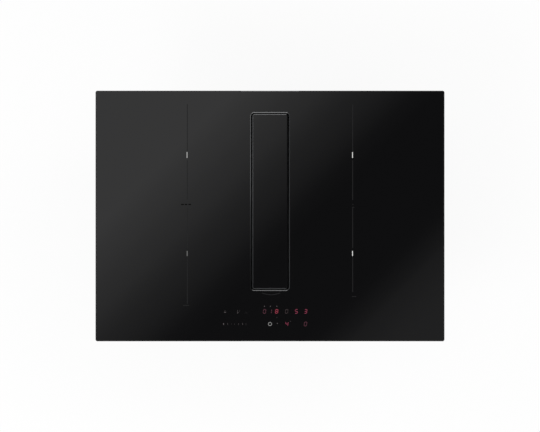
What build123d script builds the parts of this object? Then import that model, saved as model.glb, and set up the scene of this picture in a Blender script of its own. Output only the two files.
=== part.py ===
"""A downdraft induction cooktop: a black glass plate with a tilting vent flap in its middle.

Under the glass hang a sheet-steel housing with four induction coils, their power boards and the
touch controls, and below it a moulded suction casing with the filter basket, the drip drawer and
a radial blower that drives the air out of a flat duct at the back.
Millimetres, +X to the right, +Y to the back, +Z up. The origin is on the surface that the cooktop
stands on, under the middle of the glass.
"""
from build123d import *
import math
import os

# ---- Driving dimensions -------------------------------------------------------------------------

# Clearances that several pieces share
fixed_clearance = 0.02
running_clearance = 0.05
slide_clearance = 0.3
easy_clearance = 0.5

# Glass plate, and the tape and beads under it
glass_width = 720.0
glass_depth = 517.0
glass_thickness = 4.0
glass_corner = 4.0
glass_bevel = 1.2
bond_thickness = 1.0
bond_width = 7.0
rim_seal_width = 8.0
rim_seal_thickness = 2.0
rim_seal_inset = 3.0

# Vent in the glass, and the flap that fills it
vent_width = 79.0
vent_front_margin = 105.5
vent_back_margin = 45.5
vent_corner = 7.0
flap_side_gap = 3.5
flap_end_gap = 2.75
flap_corner = 4.0
flap_axis_drop = 12.0
carrier_width = 58.0
carrier_sheet = 1.5
carrier_flange = 5.0
ear_width = 11.0
pin_radius = 2.0

# Collar under the glass, and the shaft below it
collar_wall = 2.0
collar_flange = 12.0
collar_relief = 0.5
collar_skirt = 8.0
seat_width = 5.0
seat_below_axis = 30.0
shaft_side_room = 8.5
shaft_end_room = 5.0
shaft_foot = 8.0

# Filter basket that lifts out of the vent
basket_wall = 1.8
basket_flange = 2.5
basket_depth = 104.0
basket_straight = 12.0
basket_floor_width = 44.0
fork_width = 14.0
fork_thickness = 7.0
grip_width = 12.0
grip_height = 6.0
filter_thickness = 6.0
filter_border = 6.0
mesh_thickness = 1.2
mesh_bar = 3.0
mesh_rows = 2
mesh_columns = 9

# Steel housing
glass_side_overhang = 83.0
glass_end_overhang = 17.5
housing_height = 59.0
housing_sheet = 1.2
housing_flange = 9.0
louvre_width = 4.0
louvre_pitch = 11.0
louvre_length = 26.0
floor_louvres = 5
rear_louvres = 6

# Suction casing
casing_height = 148.0
moulding = 2.5
moulding_overlap = 1.0
scroll_height = 96.0
casing_corner = 4.0
casing_margin = 2.0
joint_lip = 4.0
lug_reach = 8.0
lug_width = 16.0
lug_pitch = 100.0
lugs_a_side = 4
rib_reach = 3.0
rib_thickness = 2.0
spiral_rib_angles = (-125, -100, -75, -50, -25, 0)
front_rib_count = 5

# Blower wheel and its spiral
wheel_radius = 75.0
wheel_height = 70.0
wheel_lift = 17.5
wheel_sheet = 1.8
wheel_grip = 6.0
dome_radius = 50.0
blade_count = 16
blade_chord = 13.0
blade_thickness = 1.4
blade_sweep = 6.0
blade_bow = 0.1
eye_radius = 60.0
eye_lip = 7.0
scroll_gap = 10.0
scroll_growth = 11.0
scroll_y = -20.0
tongue_angle = 48.0
tongue_radius = 5.0

# Blower motor
motor_radius = 41.0
motor_sides = 8
shield_leg = 7.0
motor_legs = 4
winding_room = 5.0
stator_height = 20.0
stator_bore = 24.0
air_gap = 0.4
motor_shaft_radius = 3.0
bearing_radius = 6.5
bearing_width = 7.0
rubber_width = 12.0
rubber_height = 6.0

# Outlet to the duct
outlet_height = 89.0
outlet_length = 20.0
outlet_flange = 3.0
outlet_corner = 6.0

# Drip drawer
drawer_height = 26.0
drawer_wall = 2.0
drawer_front = 3.0
drawer_lip = 4.0
drawer_grip = 8.0
drawer_back_room = 41.0

# Induction coils
zone_setback = 5.5
coil_side_margin = 5.0
coil_corner = 34.0
coil_hole = 54.0
coil_hole_corner = 8.0
coil_height = 5.0
former_margin = 2.0
former_height = 2.0
former_gap = 7.5
former_cut = 22.0
ferrite_height = 4.0
ferrite_width = 12.0
ferrite_pitch = 40.0
ferrite_count = 4
blanket_thickness = 3.0
plate_sheet = 1.5
plate_inner_room = 21.5
plate_overrun = 15.5
plate_end_margin = 0.75
plate_leg = 14.0
sensor_width = 10.0

# Power electronics
board_side_margin = 5.0
board_front_room = 12.0
board_back_room = 28.0
board_thickness = 1.6
board_rail_height = 8.0
board_rail_width = 6.0
component_margin = 10.0
capacitor_width = 62.0
capacitor_length = 30.0
capacitor_height = 26.0
capacitor_count = 2
choke_width = 46.0
choke_length = 42.0
choke_height = 24.0
relay_width = 30.0
relay_length = 16.0
relay_height = 20.0
relay_count = 4
heat_sink_width = 56.0
heat_sink_length = 150.0
heat_sink_height = 24.0
heat_sink_base = 5.0
fin_count = 9
fin_thickness = 1.6

# Cooling blowers
cooling_side_room = 67.5
cooling_setback = 53.0
cooling_radius = 31.0
cooling_height = 26.0
cooling_wall = 1.5
cooling_gap = 4.0
cooling_growth = 4.0
cooling_tongue = 2.5
cooling_reach = 48.0
cooling_exit_left = 8.75
cooling_hub = 14.0
cooling_blades = 9
cooling_blade = 1.5
cooling_pin = 2.0

# Touch controls
control_width = 228.0
control_depth = 52.0
control_setback = 37.0
control_drop = 8.0
control_wall = 2.0
control_leg = 8.0
digit_width = 9.0
digit_length = 13.0
key_width = 8.0
control_rows = (9.0, -17.0)
digit_columns = ((-12.0, 3.0, 13.5, 33.5, 53.5, 73.0), (34.5, 73.0))
key_columns = ((-93.0, -67.0, -50.0), (-93.0, -67.0, -50.0, 0.0))

# Mains connection
mains_side_room = 87.0
terminal_back_room = 30.0
terminal_width = 62.0
terminal_depth = 22.0
terminal_height = 20.0
terminal_ways = 5
gland_bore = 6.5
gland_width = 22.0
gland_rim = 3.0
gland_nut_radius = 12.0
gland_nut_length = 6.0
gland_inside = 12.0
gland_height = 17.0

# Spring clips on the housing
clip_width = 22.0
clip_height = 34.0
clip_bow = 6.0
clip_sheet = 0.8
clip_pitch = 300.0

# ---- Levels and places that follow from them ----------------------------------------------------

tray_floor_z = casing_height + housing_sheet
flange_top_z = casing_height + housing_height
glass_under_z = flange_top_z + bond_thickness
glass_top_z = glass_under_z + glass_thickness
axis_z = glass_top_z - flap_axis_drop
seat_z = axis_z - seat_below_axis
shaft_top_z = seat_z - collar_wall
deck_z = scroll_height
deck_top_z = deck_z + moulding

vent_length = glass_depth - vent_front_margin - vent_back_margin
vent_y = (vent_front_margin - vent_back_margin) / 2
shaft_width = vent_width + 2 * shaft_side_room
shaft_length = vent_length + 2 * shaft_end_room
housing_width = glass_width - 2 * glass_side_overhang
housing_depth = glass_depth - 2 * glass_end_overhang

flap_width = vent_width - 2 * flap_side_gap
flap_length = vent_length - 2 * flap_end_gap
collar_width = vent_width + 2 * collar_relief
collar_length = vent_length + 2 * collar_relief
collar_corner = vent_corner + collar_relief
throat_width = collar_width - 2 * seat_width
throat_length = collar_length - 2 * seat_width

basket_width = throat_width - 2 * easy_clearance
basket_length = throat_length - 2 * easy_clearance
basket_seat_z = seat_z + slide_clearance
basket_top_z = basket_seat_z + basket_flange
basket_knee_z = basket_top_z - basket_straight
basket_floor_z = basket_top_z - basket_depth
basket_inside_z = basket_floor_z + basket_wall
basket_slope = math.degrees(
    math.atan2((basket_width - basket_floor_width) / 2, basket_knee_z - basket_floor_z)
)
fork_y = basket_length / 2 - fork_thickness / 2
carrier_half_length = fork_y - fork_thickness / 2 - easy_clearance
filter_half_length = basket_length / 2 - fork_thickness - easy_clearance

tub_half_width = shaft_width / 2 + moulding
tub_half_length = shaft_length / 2 + moulding
casing_back_y = vent_y + tub_half_length
casing_front_y = vent_y - tub_half_length
scroll_start = wheel_radius + scroll_gap
outlet_left_x = tub_half_width - moulding_overlap + moulding
scroll_x = outlet_left_x + scroll_start + scroll_growth
outlet_right_x = scroll_x + scroll_start + 3 * scroll_growth
casing_right_x = outlet_right_x + moulding + casing_margin
casing_middle_x = (casing_right_x - tub_half_width) / 2
casing_width = casing_right_x + tub_half_width
lug_rows = [vent_y + (place - (lugs_a_side - 1) / 2) * lug_pitch for place in range(lugs_a_side)]
rib_rows = [y + lug_pitch / 2 for y in lug_rows[:-1]]
front_rib_pitch = casing_width / front_rib_count
front_rib_columns = [
    (place + 0.5) * front_rib_pitch - tub_half_width for place in range(front_rib_count)
]

wheel_flats = 2 * blade_count
wheel_low_z = moulding + wheel_lift
wheel_top_z = wheel_low_z + wheel_height
wheel_plate_z = wheel_low_z + wheel_sheet
wheel_ring_z = wheel_top_z - wheel_sheet
blade_inner_radius = wheel_radius - blade_chord
motor_low_z = moulding + rubber_height
stator_low_z = motor_low_z + bearing_width + winding_room
stator_top_z = stator_low_z + stator_height
motor_top_z = stator_top_z + winding_room + bearing_width
dome_low_z = motor_top_z + wheel_sheet
shaft_end_z = dome_low_z + wheel_grip

plate_outer_x = housing_width / 2 - housing_flange - easy_clearance
plate_inner_x = collar_width / 2 + collar_flange + plate_inner_room
plate_width = plate_outer_x - plate_inner_x
plate_length = vent_length + 2 * plate_overrun
zone_x = (plate_outer_x + plate_inner_x) / 2
zone_middle_y = vent_y - zone_setback
zone_pitch = (plate_length + former_gap) / 2 - plate_end_margin
coil_width = plate_width - 2 * coil_side_margin
coil_length = zone_pitch - former_gap - 2 * former_margin
coil_top_z = glass_under_z - blanket_thickness
former_top_z = coil_top_z - coil_height
ferrite_top_z = former_top_z - former_height
plate_top_z = ferrite_top_z - ferrite_height
cooling_top_z = tray_floor_z + cooling_height
cooling_x = plate_outer_x - cooling_side_room
cooling_y = cooling_setback - housing_depth / 2
control_board_z = glass_under_z - control_drop
control_y = control_setback - housing_depth / 2
mains_x = mains_side_room - housing_width / 2
terminal_y = housing_depth / 2 - terminal_back_room
gland_z = tray_floor_z + gland_height

board_z = tray_floor_z + board_rail_height
board_top_z = board_z + board_thickness
board_width = plate_width - 2 * board_side_margin
board_front_y = cooling_y + cooling_reach + board_front_room
board_length = terminal_y - terminal_depth / 2 - board_back_room - board_front_y
board_y = board_front_y + board_length / 2

SIDES = {"left": -1, "right": 1}
ROWS = {"front": -1, "rear": 1}


# ---- Helpers ------------------------------------------------------------------------------------

def block(x_low, x_high, y_low, y_high, z_low, z_high):
    """A plain block between two corners."""
    size = (x_high - x_low, y_high - y_low, z_high - z_low)
    return Pos(x_low, y_low, z_low) * Box(*size, align=(Align.MIN, Align.MIN, Align.MIN))


def slab(width, length, z_low, z_high, x=0.0, y=0.0):
    """A block that is centred on a place in plan."""
    return block(x - width / 2, x + width / 2, y - length / 2, y + length / 2, z_low, z_high)


def rounded(width, length, corner, z_low, z_high, x=0.0, y=0.0):
    """An upright prism on a rounded rectangle."""
    return Pos(x, y, z_low) * extrude(RectangleRounded(width, length, corner), z_high - z_low)


def post(radius, z_low, z_high, x=0.0, y=0.0):
    """An upright round bar."""
    bar = Cylinder(radius, z_high - z_low, align=(Align.CENTER, Align.CENTER, Align.MIN))
    return Pos(x, y, z_low) * bar


def tube(outer, inner, z_low, z_high, x=0.0, y=0.0):
    """An upright round tube."""
    return post(outer, z_low, z_high, x, y) - post(inner, z_low, z_high, x, y)


def bar_along_y(radius, y_low, y_high, x, z):
    """A round bar that lies along Y."""
    bar = Cylinder(
        radius, y_high - y_low, rotation=(-90, 0, 0), align=(Align.CENTER, Align.CENTER, Align.MIN)
    )
    return Pos(x, y_low, z) * bar


def wheel_disc(radius, z_low, z_high):
    """A disc of the blower wheel or of its inlet, with a rim of many flats, two for each blade."""
    return Pos(0, 0, z_low) * extrude(RegularPolygon(radius, wheel_flats), z_high - z_low)


def between(side, inner, outer):
    """Two places on one side of a middle plane, the lower first."""
    return sorted((side * inner, side * outer))


def mirrored(shape):
    """The same piece on the other side of the middle plane."""
    return mirror(shape, about=Plane.YZ)


def group(pieces):
    """Separate solids that share one node."""
    return Compound(children=list(pieces))


def scroll_profile(start, growth, reach, left, tip_angle, tip_radius):
    """The air space of a spiral casing in plan, about the fan's axis, with its exit towards +Y.

    The wall is the four-centre spiral: quarter arcs, each larger than the last by the growth. The
    exit runs to y = reach, and widens to x = left on the tongue's side.
    """
    first = start + growth / 2
    last = start - growth / 2
    tip = Vector(last, 0).rotate(Axis.Z, tip_angle) + Vector(-growth / 2, growth / 2)
    along = Vector(1, 0).rotate(Axis.Z, tip_angle - 90)
    nose = tip + along.rotate(Axis.Z, 90) * 2 * tip_radius
    quarter_a = JernArc((-growth / 2, start), (-1, 0), first, 90)
    quarter_b = JernArc(quarter_a @ 1, quarter_a % 1, first + growth, 90)
    quarter_c = JernArc(quarter_b @ 1, quarter_b % 1, first + 2 * growth, 90)
    exit_wall = Line(quarter_c @ 1, ((quarter_c @ 1).X, reach))
    mouth = Line(exit_wall @ 1, (left, reach))
    turn_in = Line(mouth @ 1, nose)
    tongue = ThreePointArc(nose, (nose + tip) / 2 + along * tip_radius, tip)
    close = CenterArc((-growth / 2, growth / 2), last, tip_angle, 90 - tip_angle)
    walls = [quarter_a, quarter_b, quarter_c, exit_wall, mouth, turn_in, tongue, close]
    return make_face(Wire(walls))


# ---- Glass, tape and beads ----------------------------------------------------------------------

def glass_top():
    """The glass plate with its vent, bevelled along both upper edges."""
    plate = rounded(glass_width, glass_depth, glass_corner, glass_under_z, glass_top_z)
    plate -= rounded(vent_width, vent_length, vent_corner, glass_under_z, glass_top_z, 0, vent_y)
    return chamfer(plate.faces().sort_by(Axis.Z)[-1].edges(), glass_bevel)


def rim_seal():
    """Foam tape along the four edges of the glass, which lies on the worktop."""
    width = glass_width - 2 * rim_seal_inset
    depth = glass_depth - 2 * rim_seal_inset
    low = glass_under_z - rim_seal_thickness
    hole = slab(width - 2 * rim_seal_width, depth - 2 * rim_seal_width, low, glass_under_z)
    return slab(width, depth, low, glass_under_z) - hole


def glass_bond():
    """Silicone bead between the housing's flange and the glass."""
    hole = slab(
        housing_width - 2 * bond_width, housing_depth - 2 * bond_width, flange_top_z, glass_under_z
    )
    return slab(housing_width, housing_depth, flange_top_z, glass_under_z) - hole


def collar_bond():
    """Silicone bead between the collar's flange and the glass."""
    width = collar_width + 2 * collar_flange
    length = collar_length + 2 * collar_flange
    hole = slab(
        width - 2 * bond_width, length - 2 * bond_width, flange_top_z, glass_under_z, 0, vent_y
    )
    return slab(width, length, flange_top_z, glass_under_z, 0, vent_y) - hole


# ---- Vent collar and shaft ----------------------------------------------------------------------

def intake_collar():
    """The moulded collar in the vent: its flange under the glass and its wall down to the seat."""
    ring = slab(
        collar_width + 2 * collar_flange, collar_length + 2 * collar_flange,
        flange_top_z - collar_wall, flange_top_z,
    )
    ring += rounded(
        collar_width + 2 * collar_wall, collar_length + 2 * collar_wall,
        collar_corner + collar_wall, seat_z, flange_top_z - collar_wall,
    )
    ring -= rounded(collar_width, collar_length, collar_corner, seat_z, flange_top_z)
    return Pos(0, vent_y, 0) * ring


def basket_seat():
    """The seat under the collar that carries the filter basket, with its skirt in the shaft."""
    ring = rounded(
        collar_width + 2 * collar_wall, collar_length + 2 * collar_wall,
        collar_corner + collar_wall, shaft_top_z, seat_z,
    )
    ring += slab(
        throat_width + 2 * collar_wall, throat_length + 2 * collar_wall,
        shaft_top_z - collar_skirt, shaft_top_z,
    )
    ring -= slab(throat_width, throat_length, shaft_top_z - collar_skirt, seat_z)
    return Pos(0, vent_y, 0) * ring


def intake_shaft():
    """The moulded shaft between the collar and the casing, standing on the housing's floor."""
    width = shaft_width + 2 * moulding
    length = shaft_length + 2 * moulding
    neck_wall = collar_wall + easy_clearance
    shell = slab(
        width + 2 * shaft_foot, length + 2 * shaft_foot, tray_floor_z, tray_floor_z + moulding
    )
    shell += rounded(width, length, casing_corner, tray_floor_z + moulding, shaft_top_z)
    shell -= slab(shaft_width, shaft_length, tray_floor_z, shaft_top_z - moulding)
    shell -= slab(
        throat_width + 2 * neck_wall, throat_length + 2 * neck_wall,
        shaft_top_z - moulding, shaft_top_z,
    )
    return Pos(0, vent_y, 0) * shell


# ---- Flap ---------------------------------------------------------------------------------------

def flap_glass():
    """The glass strip that fills the vent, flush with the plate."""
    strip = rounded(flap_width, flap_length, flap_corner, glass_under_z, glass_top_z, 0, vent_y)
    return chamfer(strip.faces().sort_by(Axis.Z)[-1].edges(), glass_bevel)


def flap_carrier():
    """The folded steel carrier bonded under the flap's glass, with a bored ear at each end."""
    inside_width = carrier_width - 2 * carrier_sheet
    low = glass_under_z - carrier_flange
    body = slab(carrier_width, 2 * carrier_half_length, low, glass_under_z)
    body -= slab(inside_width, 2 * carrier_half_length, low, glass_under_z - carrier_sheet)
    for side in (-1, 1):
        ends = between(side, carrier_half_length - carrier_sheet, carrier_half_length)
        body += block(
            -ear_width / 2, ear_width / 2, *ends, axis_z - ear_width / 2, glass_under_z
        )
    body -= bar_along_y(
        pin_radius + running_clearance, -carrier_half_length, carrier_half_length, 0, axis_z
    )
    return Pos(0, vent_y, 0) * body


def flap_pins():
    """Two steel pins, each through an ear of the carrier and lying in a fork of the basket."""
    pins = []
    for side in (-1, 1):
        inner = carrier_half_length - 2 * carrier_sheet
        ends = between(side, inner, fork_y + fork_thickness / 2)
        pins.append(Pos(0, vent_y, 0) * bar_along_y(pin_radius, *ends, 0, axis_z))
    return group(pins)


# ---- Filter basket ------------------------------------------------------------------------------

def basket_half_width(z):
    """Half of the basket's outer width at a height: upright at the top, then drawn in."""
    share = max(0.0, (basket_knee_z - z) / (basket_knee_z - basket_floor_z))
    return basket_width / 2 - share * (basket_width - basket_floor_width) / 2


def basket_section(wall):
    """The basket's section across its width, inside a wall of that thickness."""
    wide = basket_width / 2 - wall
    low = basket_floor_z + wall
    narrow = basket_half_width(low) - wall
    return make_face(Polyline(
        (-wide, basket_top_z), (-wide, basket_knee_z), (-narrow, low),
        (narrow, low), (wide, basket_knee_z), (wide, basket_top_z), close=True,
    ))


def along_vent(face, half_length):
    """A section drawn across the vent, carried along it both ways from the middle."""
    return extrude(Plane.XZ * face, half_length, both=True)


def pivot_fork(side):
    """A post at one end of the basket, with a slot open at the top for the flap's pin."""
    ends = between(side, fork_y - fork_thickness / 2, fork_y + fork_thickness / 2)
    slot = pin_radius + running_clearance
    fork = block(-fork_width / 2, fork_width / 2, *ends, basket_seat_z, axis_z)
    fork += bar_along_y(fork_width / 2, *ends, 0, axis_z)
    fork -= bar_along_y(slot, *ends, 0, axis_z)
    return fork - block(-slot, slot, *ends, axis_z, axis_z + fork_width)


def filter_basket():
    """The lift-out basket: flange, drawn-in walls with windows, and forks for the flap."""
    half = basket_length / 2
    shell = along_vent(basket_section(0), half)
    shell += rounded(
        vent_width - 2 * easy_clearance, vent_length - 2 * easy_clearance,
        vent_corner - easy_clearance, basket_seat_z, basket_top_z,
    )
    shell -= along_vent(basket_section(basket_wall), half - basket_wall)
    shell -= slab(basket_width, basket_length, basket_floor_z, basket_inside_z)
    window_low = basket_inside_z + filter_border
    window_high = basket_knee_z - filter_border
    window_end = filter_half_length - filter_border
    for side in (-1, 1):
        across = between(side, 0, basket_width)
        for end in (-1, 1):
            along = between(end, filter_border / 2, window_end)
            shell -= block(*across, *along, window_low, window_high)
        shell += pivot_fork(side)
    return Pos(0, vent_y, 0) * shell


def basket_floor():
    """The drip floor that closes the basket's lower end."""
    plate = along_vent(basket_section(0), basket_length / 2)
    plate &= slab(basket_width, basket_length, basket_floor_z, basket_inside_z)
    return Pos(0, vent_y, 0) * plate


def filter_grip():
    """The bar across the basket's mouth, by which it is lifted out."""
    span = basket_width - 2 * basket_wall
    bar = slab(span, grip_width, basket_knee_z, basket_knee_z + grip_height)
    return Pos(0, vent_y, 0) * bar


def filter_panel_span():
    """Where a filter panel starts and ends, measured up the slope of the basket's wall."""
    rise = basket_knee_z - basket_inside_z
    low = filter_thickness * math.tan(math.radians(basket_slope))
    return low, rise / math.cos(math.radians(basket_slope)) - low


def on_wall(panel, side):
    """Lays an upright panel, drawn behind x = 0 from z = 0 up, on a long wall of the basket."""
    foot_x = basket_half_width(basket_inside_z) - basket_wall
    placed = Pos(foot_x, 0, basket_inside_z) * Rot(0, basket_slope, 0) * panel
    placed = placed if side > 0 else mirrored(placed)
    return Pos(0, vent_y, 0) * placed


def grease_filter_frame(side):
    """The aluminium frame of one grease filter, leaning on the basket's wall."""
    half = filter_half_length
    low, high = filter_panel_span()
    frame = block(-filter_thickness, 0, -half, half, low, high)
    frame -= block(
        -filter_thickness, 0, filter_border - half, half - filter_border,
        low + filter_border, high - filter_border,
    )
    return on_wall(frame, side)


def grease_filter_mesh(side):
    """The filter's expanded sheet, with diamond gaps in rows and columns."""
    half = filter_half_length - filter_border
    low, high = filter_panel_span()
    low += filter_border
    high -= filter_border
    middle = -filter_thickness / 2
    sheet = block(middle - mesh_thickness / 2, middle + mesh_thickness / 2, -half, half, low, high)
    step_y = 2 * half / mesh_columns
    step_z = (high - low) / mesh_rows
    gap_y = (step_y - mesh_bar) / 2
    gap_z = (step_z - mesh_bar) / 2
    diamond = make_face(Polyline((gap_y, 0), (0, gap_z), (-gap_y, 0), (0, -gap_z), close=True))
    gaps = [
        Pos((column + 0.5) * step_y - half, low + (row + 0.5) * step_z) * diamond
        for column in range(mesh_columns)
        for row in range(mesh_rows)
    ]
    cutters = extrude(Plane.YZ.offset(middle) * (Sketch() + gaps), mesh_thickness, both=True)
    return on_wall(sheet - cutters, side)


# ---- Steel housing ------------------------------------------------------------------------------

def louvre_places(count, x):
    """The middle of each of a row of louvres along X."""
    return [x + (i - (count - 1) / 2) * louvre_pitch for i in range(count)]


def housing_tray():
    """The folded steel housing: louvres, a hole for the shaft and a flange turned in at the top."""
    tray = slab(housing_width, housing_depth, casing_height, flange_top_z)
    tray -= slab(
        housing_width - 2 * housing_sheet, housing_depth - 2 * housing_sheet,
        tray_floor_z, flange_top_z - housing_sheet,
    )
    tray -= slab(
        housing_width - 2 * housing_flange, housing_depth - 2 * housing_flange,
        flange_top_z - housing_sheet, flange_top_z,
    )
    tray -= slab(shaft_width, shaft_length, casing_height, tray_floor_z, 0, vent_y)
    wall_y = housing_depth / 2
    middle_z = (tray_floor_z + flange_top_z) / 2
    louvre_z = (middle_z - louvre_length / 2, middle_z + louvre_length / 2)
    for side in (-1, 1):
        for x in louvre_places(floor_louvres, side * cooling_x):
            tray -= slab(louvre_width, louvre_length, casing_height, tray_floor_z, x, cooling_y)
    for x in louvre_places(rear_louvres, zone_x) + louvre_places(rear_louvres, -zone_x / 2):
        half = louvre_width / 2
        tray -= block(x - half, x + half, wall_y - housing_sheet, wall_y, *louvre_z)
    half = gland_width / 2
    return tray - block(
        mains_x - half, mains_x + half, wall_y - housing_sheet, wall_y,
        gland_z - half, gland_z + half,
    )


def spring_clip(side, y):
    """One spring leaf: flat ends on the housing's wall, bent out between them."""
    wall = housing_width / 2
    top = flange_top_z - housing_flange
    low = top - clip_height
    quarter = clip_height / 4
    outline = [(wall, top), (wall, top - quarter), (wall + clip_bow, top - 2 * quarter),
               (wall, low + quarter), (wall, low)]
    outer = [(x + clip_sheet, z) for x, z in reversed(outline)]
    face = make_face(Polyline(*outline, *outer, close=True))
    leaf = extrude(Plane.XZ * face, clip_width / 2, both=True)
    return Pos(0, y, 0) * (leaf if side > 0 else mirrored(leaf))


def fixing_clips():
    """Four spring leaves, two on each side of the housing."""
    return group(spring_clip(side, end * clip_pitch / 2) for side in (-1, 1) for end in (-1, 1))


# ---- Suction casing -----------------------------------------------------------------------------

def wall_rib(x_near, x_far, y, z_low, z_high):
    """An upright stiffening rib that stands out sideways from a wall."""
    half = rib_thickness / 2
    return block(*sorted((x_near, x_far)), y - half, y + half, z_low, z_high)


def joint_flange(z_low, z_high):
    """The lip round the upper joint, with its screw lugs, at the sides and at the front.

    The back has none, since the outlet's flange lies flat against it there.
    """
    width = casing_width + 2 * joint_lip
    length = 2 * tub_half_length + joint_lip
    flange = rounded(
        width, length, casing_corner, z_low, z_high, casing_middle_x, vent_y - joint_lip / 2
    )
    for y in lug_rows:
        flange += slab(width + 2 * lug_reach, lug_width, z_low, z_high, casing_middle_x, y)
    return flange


def spiral_ribs(air):
    """The upright ribs round the outside of the spiral wall."""
    plan = extrude(offset(air, moulding + rib_reach), deck_z)
    reach = casing_right_x - scroll_x
    ray = wall_rib(0, reach, 0, 0, deck_z)
    ribs = [Pos(scroll_x, scroll_y, 0) * Rot(0, 0, angle) * ray for angle in spiral_rib_angles]
    ribs += [wall_rib(scroll_x, casing_right_x, y, 0, deck_z) for y in rib_rows if y > scroll_y]
    return [plan & rib for rib in ribs]


def casing_base():
    """The lower moulding: the tub for the drip drawer, the spiral wall and the exit to the duct."""
    air = Pos(scroll_x, scroll_y) * scroll_profile(
        scroll_start, scroll_growth, casing_back_y - scroll_y, outlet_left_x - scroll_x,
        tongue_angle, tongue_radius,
    )
    shell = extrude(offset(air, moulding), deck_z)
    shell += rounded(
        2 * tub_half_width, 2 * tub_half_length, casing_corner, 0, deck_z, 0, vent_y
    )
    for rib in spiral_ribs(air):
        shell += rib
    for y in rib_rows:
        shell += wall_rib(-tub_half_width, -tub_half_width - rib_reach, y, 0, deck_z)
    shell -= Pos(0, 0, moulding) * extrude(air, deck_z)
    shell -= slab(shaft_width, shaft_length, moulding, deck_z, 0, vent_y)
    shell -= block(
        outlet_left_x, outlet_right_x, casing_back_y - moulding, casing_back_y, moulding, deck_z
    )
    shell -= block(
        outlet_left_x - 2 * moulding, outlet_right_x + 2 * moulding,
        casing_back_y, casing_back_y + 2 * moulding, 0, deck_z,
    )
    mouth = shaft_width - 2 * casing_corner
    mouth_top = moulding + drawer_height + easy_clearance
    return shell - block(
        -mouth / 2, mouth / 2, casing_front_y, casing_front_y + moulding, moulding, mouth_top
    )


def scroll_deck():
    """The plate over the spiral, open over the tub, with a lipped inlet over the wheel."""
    plate = joint_flange(deck_z, deck_top_z)
    lip = wheel_disc(eye_radius + moulding, deck_top_z - eye_lip, deck_z)
    eye = wheel_disc(eye_radius, deck_top_z - eye_lip, deck_top_z)
    plate += Pos(scroll_x, scroll_y, 0) * lip
    plate -= Pos(scroll_x, scroll_y, 0) * eye
    return plate - slab(shaft_width, shaft_length, deck_z, deck_top_z, 0, vent_y)


def plenum_cover():
    """The upper moulding: a shallow box that leads the air from the shaft over to the inlet."""
    length = 2 * tub_half_length
    top_z = casing_height - moulding
    cover = rounded(
        casing_width, length, casing_corner, deck_top_z, casing_height, casing_middle_x, vent_y
    )
    cover += joint_flange(deck_top_z, deck_top_z + moulding)
    for y in rib_rows:
        cover += wall_rib(-tub_half_width, -tub_half_width - rib_reach, y, deck_top_z, top_z)
        cover += wall_rib(casing_right_x, casing_right_x + rib_reach, y, deck_top_z, top_z)
    for x in front_rib_columns:
        cover += slab(rib_thickness, 2 * rib_reach, deck_top_z, top_z, x, casing_front_y)
    cover -= slab(
        casing_width - 2 * moulding, length - 2 * moulding,
        deck_top_z, top_z, casing_middle_x, vent_y,
    )
    return cover - slab(shaft_width, shaft_length, top_z, casing_height, 0, vent_y)


def outlet_spigot():
    """The flanged rectangular spigot that a flat duct slides over."""
    left = outlet_left_x - moulding
    right = outlet_right_x + moulding
    middle_x = (left + right) / 2
    middle_z = deck_top_z / 2
    width = right - left - 2 * easy_clearance
    flange_y = casing_back_y + outlet_flange
    outer = RectangleRounded(width, outlet_height, outlet_corner)
    bore = RectangleRounded(
        width - 2 * moulding, outlet_height - 2 * moulding, outlet_corner - moulding
    )
    spigot = block(left, right, casing_back_y, flange_y, easy_clearance, deck_top_z)
    spigot += Pos(middle_x, flange_y, middle_z) * extrude(Plane.XZ * outer, -outlet_length)
    return spigot - Pos(middle_x, casing_back_y, middle_z) * extrude(
        Plane.XZ * bore, -outlet_flange - outlet_length
    )


# ---- Drip drawer --------------------------------------------------------------------------------

def drip_drawer():
    """The tray that catches what runs down the vent, drawn out at the front of the casing."""
    half = shaft_width / 2 - casing_corner - easy_clearance
    panel_half = half + drawer_lip
    panel_y = casing_front_y - slide_clearance - drawer_front
    low = moulding + slide_clearance
    high = moulding + drawer_height
    back_y = panel_y + 2 * tub_half_length - drawer_back_room
    tray = block(-half, half, panel_y, back_y, low, high)
    tray -= block(
        drawer_wall - half, half - drawer_wall, panel_y + drawer_front, back_y - drawer_wall,
        low + drawer_wall, high,
    )
    tray += block(
        -panel_half, panel_half, panel_y, panel_y + drawer_front, easy_clearance, high + drawer_lip
    )
    return tray + block(
        -panel_half / 2, panel_half / 2, panel_y - drawer_grip, panel_y,
        high - drawer_lip, high - drawer_lip / 2,
    )


# ---- Blower wheel and motor ---------------------------------------------------------------------

def fan_blade(inner, outer, thickness, sweep, bow):
    """One curved blade in plan, from the inner to the outer radius, swept and bowed."""
    start = Vector(inner, 0)
    end = Vector(outer, 0).rotate(Axis.Z, sweep)
    span = end - start
    side = span.rotate(Axis.Z, 90).normalized()
    middle = (start + end) / 2 + side * span.length * bow
    half = side * thickness / 2
    near = ThreePointArc(start + half, middle + half, end + half)
    far = ThreePointArc(end - half, middle - half, start - half)
    return make_face(Wire([near, Line(near @ 1, far @ 0), far, Line(far @ 1, near @ 0)]))


def blower_wheel():
    """The wheel's plate, domed over the motor and bored for its shaft."""
    wheel = wheel_disc(wheel_radius, wheel_low_z, wheel_plate_z)
    wheel += wheel_disc(dome_radius, wheel_plate_z, shaft_end_z)
    wheel -= wheel_disc(dome_radius - wheel_sheet, wheel_low_z, dome_low_z)
    wheel -= post(motor_shaft_radius + fixed_clearance, dome_low_z, shaft_end_z)
    return Pos(scroll_x, scroll_y, 0) * wheel


def blower_blades():
    """The curved sheet blades that stand between the wheel's plate and its ring."""
    section = fan_blade(
        blade_inner_radius, wheel_radius - wheel_sheet, blade_thickness, blade_sweep, blade_bow
    )
    blade = Pos(0, 0, wheel_plate_z) * extrude(section, wheel_ring_z - wheel_plate_z)
    turns = [Rot(0, 0, 360 * i / blade_count) for i in range(blade_count)]
    return group(Pos(scroll_x, scroll_y, 0) * turn * blade for turn in turns)


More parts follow.
